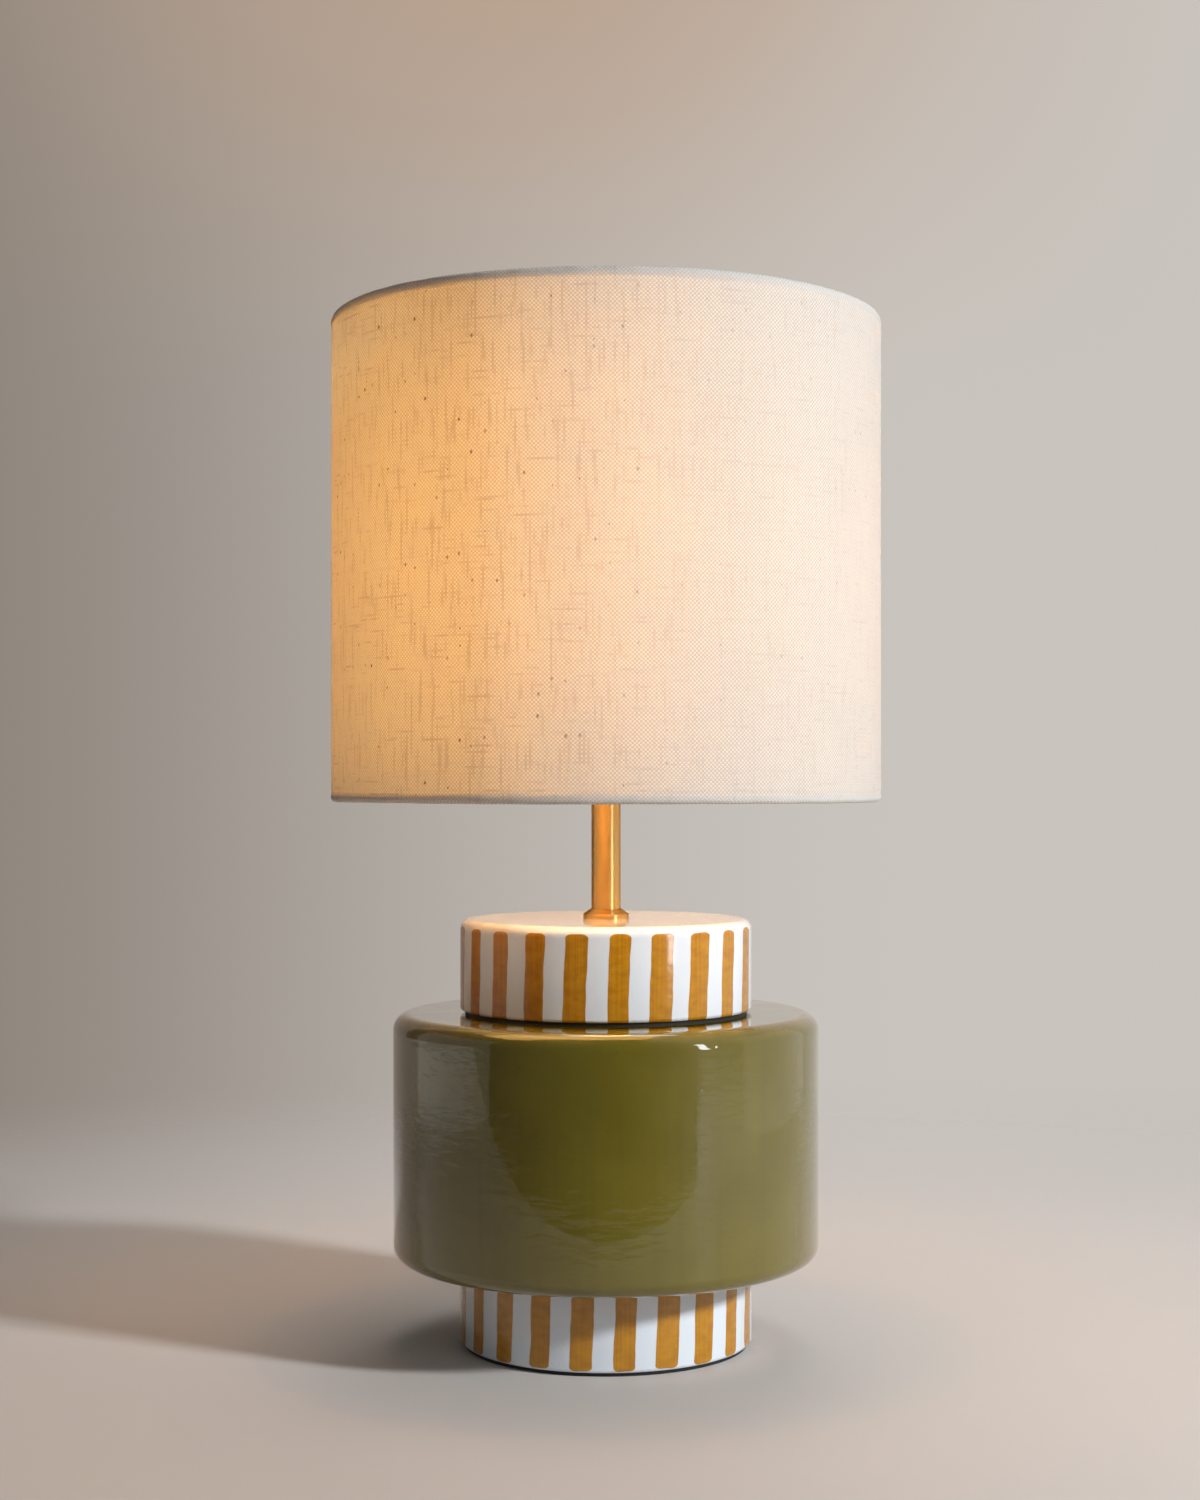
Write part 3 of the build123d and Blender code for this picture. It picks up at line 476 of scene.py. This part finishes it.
def linen_section():
    """Radius and height of points along the cover, from the tail of its base hem to that of its top hem."""
    low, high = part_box("shade_fabric")
    centre = SHADE_RADIUS - HEM_RADIUS
    base, top = low.z + HEM_RADIUS, high.z - HEM_RADIUS
    section = [(centre - HEM_RADIUS, height) for height in spaced(base + HEM_TAIL, base, HEM_TAIL_ROWS)]
    for turn in spaced(pi, tau, HEM_ROLL_ROWS)[1:]:
        section.append((centre + HEM_RADIUS * cos(turn), base + HEM_RADIUS * sin(turn)))
    wall = spaced(base, base + NEAR_HEM, NEAR_HEM_ROWS)[1:]
    wall += spaced(base + NEAR_HEM, top - NEAR_HEM, WALL_ROWS)[1:]
    wall += spaced(top - NEAR_HEM, top, NEAR_HEM_ROWS)[1:]
    section += [(SHADE_RADIUS, height) for height in wall]
    for turn in spaced(0, pi, HEM_ROLL_ROWS)[1:]:
        section.append((centre + HEM_RADIUS * cos(turn), top + HEM_RADIUS * sin(turn)))
    section += [(centre - HEM_RADIUS, height) for height in spaced(top, top - HEM_TAIL, HEM_TAIL_ROWS)[1:]]
    return section, low.z, high.z


def linen_columns():
    """Turns of the cover's columns of points, with close pairs at the two edges of the lapped seam."""
    half = SEAM_WIDTH / SHADE_RADIUS / 2
    gap = SEAM_EDGE / SHADE_RADIUS
    edges = [SEAM_ANGLE - half, SEAM_ANGLE + half]
    turns = [tau * index / LINEN_COLUMNS for index in range(LINEN_COLUMNS)]
    turns = [turn for turn in turns if min(abs(turn - edge) for edge in edges) > 3 * gap]
    turns += [edge + side * gap for edge in edges for side in (-1, 1)]
    return sorted(turns)


def linen_cover(material):
    """Linen stretched over the hoops: rolled hems, a crease beside each, a lapped seam and notched tails."""
    section, low, high = linen_section()
    turns = linen_columns()
    half_seam = SEAM_WIDTH / SHADE_RADIUS / 2
    half_notch = NOTCH_WIDTH / SHADE_RADIUS / 2
    points = []
    for turn in turns:
        lapped = SEAM_STEP if abs(turn - SEAM_ANGLE) < half_seam else 0.0
        sway = 0.10 * sin(3 * turn + 0.7) + 0.08 * sin(8 * turn + 2.1)
        pucker = 0.07 * sin(37 * turn + 0.4) + 0.06 * sin(61 * turn + 1.9) + 0.05 * sin(97 * turn)
        rise = 0.10 * sin(5 * turn + 1.3) + 0.06 * sin(29 * turn + 0.2)
        for radius, height in section:
            from_low, from_high = height - low, high - height
            edge = exp(-((min(from_low, from_high) / PUCKER_HEIGHT) ** 2))
            crease = exp(-(((from_low - BASE_CREASE) / CREASE_WIDTH) ** 2))
            crease += exp(-(((from_high - TOP_CREASE) / CREASE_WIDTH) ** 2))
            outside = 1.0 if radius > SHADE_RADIUS - HEM_RADIUS else 0.0
            belly = sin(pi * from_low / (high - low)) * sin(2 * turn + 0.5 + 9 * height)
            shift = (sway * (1 - edge) + pucker * edge + 0.16 * belly) * MM - CREASE_DEPTH * crease
            out = radius + outside * (shift + lapped)
            points.append((out * cos(turn), out * sin(turn), height + rise * edge * MM))
    faces = []
    rows = len(section)
    for column in range(len(turns)):
        after = (column + 1) % len(turns)
        middle = turns[column] + tau / LINEN_COLUMNS / 2
        notched = min(abs(middle - angle) for angle in ARM_ANGLES) < half_notch
        for row in range(rows - 1):
            if notched and row < NOTCHED_ROWS:
                continue
            start, end = column * rows + row, after * rows + row
            faces.append((start, end, end + 1, start + 1))
    return mesh_piece("linen_cover", points, faces, material, "shade")


def turned_piece(name, outline, material, body):
    """Revolve a closed outline. Each point is a radius, a height, a thread depth and a thread pitch."""
    points = []
    for column in range(TURNED_SEGMENTS):
        turn = tau * column / TURNED_SEGMENTS
        for radius, height, depth, pitch in outline:
            wave = 0.5 - 0.5 * cos(tau * (height / pitch) - turn) if depth else 0.0
            out = radius - depth * wave
            points.append((out * cos(turn), out * sin(turn), height))
    faces = []
    rows = len(outline)
    for column in range(TURNED_SEGMENTS):
        after = (column + 1) % TURNED_SEGMENTS
        for row in range(rows):
            following = (row + 1) % rows
            start, end = column * rows, after * rows
            faces.append((start + row, end + row, end + following, start + following))
    return mesh_piece(name, points, faces, material, body)


def thread_wall(radius, start, end, depth, pitch):
    """Points up a threaded wall, whose thread grows from nothing and fades again at its ends."""
    count = max(2, round((end - start) / pitch * THREAD_ROWS_PER_TURN))
    wall = []
    for height in spaced(start, end, count):
        share = min(1.0, (height - start) / THREAD_FADE, (end - height) / THREAD_FADE)
        wall.append((radius * MM, height, depth * max(0.0, share), pitch))
    return wall


def plain(*corners):
    """Points of an outline that carry no thread, with their radii in millimetres."""
    return [(radius * MM, height, 0.0, 1.0) for radius, height in corners]


cap_low, cap_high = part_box("cap_drum")
foot_low, foot_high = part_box("foot_drum")
body_low, body_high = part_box("body_drum")
globe_low, globe_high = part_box("bulb_globe")

foot_glaze = striped_glaze(
    "striped_glaze_foot", FOOT_STRIPE_TURN, foot_low.z + FOOT_STRIPE_GAP, foot_high.z + STRIPE_OVERRUN
)
cap_glaze = striped_glaze(
    "striped_glaze_cap", CAP_STRIPE_TURN, cap_low.z - STRIPE_OVERRUN, cap_high.z - CAP_STRIPE_GAP
)
brass_stem = brushed_metal(
    "brass_brushed", (0.72, 0.42, 0.14), (0.85, 0.54, 0.21), turned=False, roughness=0.32, relief=0.005 * MM
)
brass_turned = brushed_metal(
    "brass_turned", (0.68, 0.40, 0.13), (0.80, 0.51, 0.20), turned=True, roughness=0.34
)
contact_brass = grained(
    "brass_stamped", (0.62, 0.42, 0.16), (0.80, 0.58, 0.26), 500, 0.30, 0.01 * MM, Metallic=1.0
)
zinc = grained("zinc_plate", (0.46, 0.47, 0.48), (0.66, 0.66, 0.65), 420, 0.36, 0.012 * MM, Metallic=1.0)
nickel = brushed_metal("nickel_rolled", (0.60, 0.59, 0.57), (0.80, 0.79, 0.77), turned=True, roughness=0.2)
pad_rubber = grained("pad_felted_rubber", (0.012, 0.012, 0.012), (0.035, 0.034, 0.033), 1500, 0.85, 0.12 * MM)
rubber = grained("black_rubber", (0.015, 0.015, 0.015), (0.032, 0.031, 0.030), 700, 0.62, 0.03 * MM)
porcelain = grained("porcelain", (0.78, 0.76, 0.71), (0.86, 0.85, 0.81), 350, 0.45, 0.02 * MM)
plastic = grained("moulded_plastic", (0.026, 0.019, 0.015), (0.046, 0.034, 0.027), 800, 0.28, 0.012 * MM)
insulator = grained("black_glass", (0.010, 0.010, 0.011), (0.026, 0.026, 0.028), 300, 0.10, 0.01 * MM)
coated_wire = grained("powder_coat", (0.74, 0.735, 0.71), (0.84, 0.835, 0.815), 1100, 0.40, 0.03 * MM)

finishes = {
    "foot_pad": pad_rubber,
    "foot_drum": foot_glaze,
    "cap_drum": cap_glaze,
    "body_drum": olive_glaze("olive_glaze", body_low.z, body_high.z),
    "foot_gasket": rubber,
    "cap_gasket": rubber,
    "cord_grommet": rubber,
    "clamp_plate": zinc,
    "spring_washer": zinc,
    "bottom_nut": zinc,
    "rod_top_nut": zinc,
    "threaded_rod": zinc,
    "terminal_screws": zinc,
    "stem_collar": brass_turned,
    "stem_tube": brass_stem,
    "lampholder_cup": brass_turned,
    "screw_shell": contact_brass,
    "centre_contact": contact_brass,
    "switch_contacts": contact_brass,
    "switch_bridge": contact_brass,
    "lampholder_insert": porcelain,
    "switch_bushes": brass_turned,
    "switch_bar": contact_brass,
    "switch_buttons": plastic,
    "shade_ring": brass_turned,
    "bulb_contact": nickel,
    "bulb_insulator": insulator,
    "bulb_globe": opal_glass("opal_glass", globe_low.z, globe_high.z),
    "shade_liner": liner_film("liner_film"),
    "top_hoop": coated_wire,
    "bottom_hoop": coated_wire,
    "fitter_arms": coated_wire,
    "fitter_ring": coated_wire,
}
for node, material in finishes.items():
    nodes[node].data.materials.clear()
    nodes[node].data.materials.append(material)

# Linen cover of the shade
shade_low, shade_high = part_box("shade_fabric")
cover = linen_cover(linen_cloth("linen", shade_low.z, shade_high.z))
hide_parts("shade_fabric")

# Upper skirt of the lampholder, with the thread that the shade ring runs on
skirt_low, skirt_high = (corner.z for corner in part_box("lampholder_skirt"))
step_up = skirt_low + SPIGOT_DEPTH
shoulder = skirt_low + SHOULDER_HEIGHT
shoulder_edge = SHOULDER_RADIUS - EDGE_BREAK / MM
thread_low, thread_high = shoulder + SKIRT_THREAD_START, skirt_high - SKIRT_THREAD_STOP
skirt_outline = (
    plain((SKIRT_BORE, skirt_low), (SPIGOT_RADIUS, skirt_low), (SPIGOT_RADIUS, step_up))
    + plain((shoulder_edge, step_up), (SHOULDER_RADIUS, step_up + EDGE_BREAK))
    + plain((SHOULDER_RADIUS, shoulder - EDGE_BREAK), (shoulder_edge, shoulder), (SKIRT_RADIUS, shoulder))
    + thread_wall(SKIRT_RADIUS, thread_low, thread_high, SKIRT_THREAD_DEPTH, SKIRT_THREAD_PITCH)
    + plain((SKIRT_RADIUS - EDGE_BREAK / MM, skirt_high), (SKIRT_BORE, skirt_high))
)
skirt = turned_piece("threaded_skirt", skirt_outline, brass_turned, "base")
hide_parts("lampholder_skirt")

# Bulb cap rolled with its screw thread, inside and out
bulb_cap_low, bulb_cap_high = (corner.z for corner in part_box("bulb_cap"))
thread_start, thread_end = bulb_cap_low + CAP_THREAD_START, bulb_cap_low + CAP_THREAD_END
cap_outside = thread_wall(CAP_RADIUS, thread_start, thread_end, CAP_THREAD_DEPTH, CAP_THREAD_PITCH)
cap_inside = thread_wall(CAP_BORE, thread_start, thread_end, CAP_THREAD_DEPTH, CAP_THREAD_PITCH)
cap_floor = bulb_cap_low + CAP_WALL
bulb_cap_outline = (
    plain((CAP_EYE, bulb_cap_low), (CAP_TAPER_RADIUS, bulb_cap_low), (CAP_RADIUS, bulb_cap_low + CAP_TAPER))
    + cap_outside
    + plain((CAP_RADIUS, bulb_cap_high - CAP_LIP), (CAP_RADIUS - CAP_LIP / MM, bulb_cap_high))
    + plain((CAP_BORE, bulb_cap_high))
    + cap_inside[::-1]
    + plain((CAP_BORE, thread_start - CAP_THREAD_RUN), (CAP_TAPER_RADIUS - CAP_WALL / MM, cap_floor))
    + plain((CAP_EYE, cap_floor))
)
bulb_cap = turned_piece("bulb_screw_cap", bulb_cap_outline, nickel, "bulb")
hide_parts("bulb_cap")

# Floor that fades into the backdrop
FLOOR_REACH = 3.0
FLOOR_CORNERS = [(-1, -1), (1, -1), (1, 1), (-1, 1)]
floor_shader = Shader("floor")
tone = floor_shader.noise(floor_shader.place, 3, 3.0)
floor_colour = floor_shader.mix(tone, (0.685, 0.635, 0.60), (0.715, 0.665, 0.63))
floor_surface = floor_shader.principled(floor_colour, 0.6, Specular_IOR_Level=0.2)
far = floor_shader.step(floor_shader.radius(-0.3), 0.60, 1.50)
far = floor_shader.math("MAXIMUM", far, floor_shader.step(floor_shader.y, -0.52, -1.0))
fade = floor_shader.add("ShaderNodeMixShader", {"Fac": far})
clear = floor_shader.add("ShaderNodeBsdfTransparent")
floor_shader.put(fade.inputs[1], floor_surface)
floor_shader.put(fade.inputs[2], clear.outputs[0])
floor_material = floor_shader.finish(fade.outputs[0])
floor_mesh = bpy.data.meshes.new("floor")
corners = [(side_x * FLOOR_REACH, side_y * FLOOR_REACH, 0) for side_x, side_y in FLOOR_CORNERS]
floor_mesh.from_pydata(corners, [], [(0, 1, 2, 3)])
floor_mesh.materials.append(floor_material)
floor = bpy.data.objects.new("floor", floor_mesh)
bpy.context.scene.collection.objects.link(floor)

# Dim room light, with a pale backdrop that the camera and reflections see. Behind the lamp it carries painted
# light:
# painted shade darkens it to the left so that it is paler to the right, and a painted warm glow of the lamp
# lies above
world = bpy.data.worlds.new("studio")
world.use_nodes = True
sky = Shader(None, world.node_tree)
room = sky.add("ShaderNodeBackground", {"Color": (0.98, 0.985, 1.0), "Strength": 0.08})
# Painted shade: the backdrop darkens to the left, away from the key and in the lamp's shadow
wall = sky.mix(sky.step(sky.x, -0.34, 0.14), (0.25, 0.212, 0.18), (0.585, 0.550, 0.512))
from_middle = sky.math("ABSOLUTE", sky.plus(sky.x, 0.03))
# Painted light: a warm glow of the lamp on the backdrop above the shade
painted_lamp_glow = sky.times(sky.step(sky.z, 0.14, 0.36), sky.step(from_middle, 0.30, 0.0))
wall = sky.mix(sky.times(painted_lamp_glow, 0.75), wall, (0.49, 0.33, 0.225))
wall = sky.mix(sky.step(sky.y, 0.75, 0.15), wall, (0.50, 0.465, 0.43))
backdrop = sky.add("ShaderNodeBackground", {"Color": wall, "Strength": 1.0})
path = sky.add("ShaderNodeLightPath").outputs
seen = sky.math("MAXIMUM", path["Is Camera Ray"], path["Is Glossy Ray"])
seen = sky.math("MAXIMUM", seen, path["Is Transmission Ray"])
choice = sky.add("ShaderNodeMixShader", {"Fac": seen})
sky.put(choice.inputs[1], room.outputs[0])
sky.put(choice.inputs[2], backdrop.outputs[0])
sky.finish(choice.outputs[0])
bpy.context.scene.world = world

# Dark screens in front and on the left, which give the glazes their dark reflections
SCREEN_HEIGHT = 2.5
SCREEN_FRONT = -0.503
SCREEN_LEFT = -1.6
SCREEN_RIGHT = 0.5
SCREEN_BACK = 1.4
# Where the front screen starts and stops growing paler, in x
PALE_START = 0.08
PALE_END = 0.60


def dark_screen(name, start, end, dark, pale):
    """A screen on the floor between two places, which only glossy surfaces see, dark left of PALE_START."""
    s = Shader(name)
    glow = s.add("ShaderNodeEmission", {"Color": s.mix(s.step(s.x, PALE_START, PALE_END), dark, pale)})
    mesh = bpy.data.meshes.new(name)
    foot = [(*start, 0), (*end, 0)]
    head = [(*end, SCREEN_HEIGHT), (*start, SCREEN_HEIGHT)]
    mesh.from_pydata(foot + head, [], [(0, 1, 2, 3)])
    mesh.materials.append(s.finish(glow.outputs[0]))
    screen = bpy.data.objects.new(name, mesh)
    screen.visible_camera = False
    screen.visible_diffuse = False
    screen.visible_transmission = False
    screen.visible_shadow = False
    bpy.context.scene.collection.objects.link(screen)


front_left = (SCREEN_LEFT, SCREEN_FRONT)
front_right = (SCREEN_RIGHT, SCREEN_FRONT)
back_left = (SCREEN_LEFT, SCREEN_BACK)
left_dark = (0.10, 0.080, 0.065)
dark_screen("front_screen", front_left, front_right, (0.07, 0.066, 0.062), (0.46, 0.435, 0.40))
dark_screen("left_screen", back_left, front_left, left_dark, left_dark)


def softbox(name, place, target, width, height, power, colour, spread=180):
    """A rectangular lamp aimed at a point, with its light kept within a spread, that the camera can't see."""
    lamp = bpy.data.lights.new(name, "AREA")
    lamp.shape = "RECTANGLE"
    lamp.size = width
    lamp.size_y = height
    lamp.energy = power
    lamp.color = colour
    lamp.spread = radians(spread)
    holder = bpy.data.objects.new(name, lamp)
    holder.location = place
    holder.rotation_euler = (Vector(target) - Vector(place)).to_track_quat("-Z", "Y").to_euler()
    holder.visible_camera = False
    bpy.context.scene.collection.objects.link(holder)
    return holder


def seen_in_gloss_only(lamp):
    """Keep a lamp as a reflection in glossy surfaces, with no light of its own on matt ones."""
    lamp.visible_diffuse = False
    lamp.visible_transmission = False


KEY_COLOUR = (0.92, 0.965, 1.0)
PANEL_COLOUR = (1.0, 0.985, 0.96)
key = softbox("key", (1.85, -1.08, 1.10), (0, 0, 0.25), 0.23, 0.23, 52, KEY_COLOUR)
key.visible_glossy = False
fill = softbox("front_fill", (0.9, -1.5, 0.75), (0, 0, 0.22), 0.9, 0.9, 4.0, KEY_COLOUR)
fill.visible_glossy = False
softbox("floor_light", (0.2, 1.0, 1.5), (0.1, 1.0, 0), 1.4, 0.8, 5.0, PANEL_COLOUR, 110)
seen_in_gloss_only(softbox("glint", (0.92, -0.77, 0.42), (0, 0, 0.30), 0.11, 0.60, 2.0, KEY_COLOUR))
left_panel = softbox("left_panel", (-0.85, -0.06, 0.36), (0, -0.06, 0.36), 0.86, 0.70, 0.36, PANEL_COLOUR)
seen_in_gloss_only(left_panel)
right_panel = softbox("right_panel", (0.85, 0.157, 0.40), (0, 0.157, 0.40), 0.85, 0.78, 0.45, PANEL_COLOUR)
seen_in_gloss_only(right_panel)

# Warm light that the bulb throws through the front and left of the shade, and down on the cap and the body's
# rim. The turns, in degrees to the left of the front, have a power each, shared out over the heights
GLOW = (1.0, 0.60, 0.20)
GLOW_REACH = 0.045
GLOW_HEIGHTS = {0.34: 0.30, 0.43: 0.34, 0.52: 0.36}
GLOW_TURNS = {-10: 0.11, 20: 0.29, 50: 0.43, 80: 0.13}
glows = [softbox("down_glow", (0, 0, 0.300), (0, 0, 0), 0.20, 0.20, 0.29, (1.0, 0.38, 0.05))]
for turn, power in GLOW_TURNS.items():
    way = Vector((-sin(radians(turn)), -cos(radians(turn)), 0))
    for height, share in GLOW_HEIGHTS.items():
        place = GLOW_REACH * way + Vector((0, 0, height))
        glows.append(softbox("shade_glow", place, place + way, 0.03, 0.07, power * share, GLOW, 120))
for glow in glows:
    glow.visible_glossy = False
rim_glow = softbox("rim_glow", (-0.05, -0.105, 0.298), (-0.05, -0.105, 0), 0.20, 0.08, 0.17, (1.0, 0.5, 0.12))
seen_in_gloss_only(rim_glow)

# Camera where the photograph was taken from: level, a little above the stem
camera_data = bpy.data.cameras.new("camera")
camera_data.sensor_width = 36
camera_data.lens = 55.87
camera_data.shift_x = -0.004
camera_data.shift_y = 0.0187
camera_data.clip_start = 0.05
camera_data.clip_end = 50
camera = bpy.data.objects.new("camera", camera_data)
camera.location = (0, -1.279, 0.309)
camera.rotation_euler = (radians(90), 0, 0)
bpy.context.scene.collection.objects.link(camera)
bpy.context.scene.camera = camera
bpy.context.scene.view_settings.view_transform = "Standard"
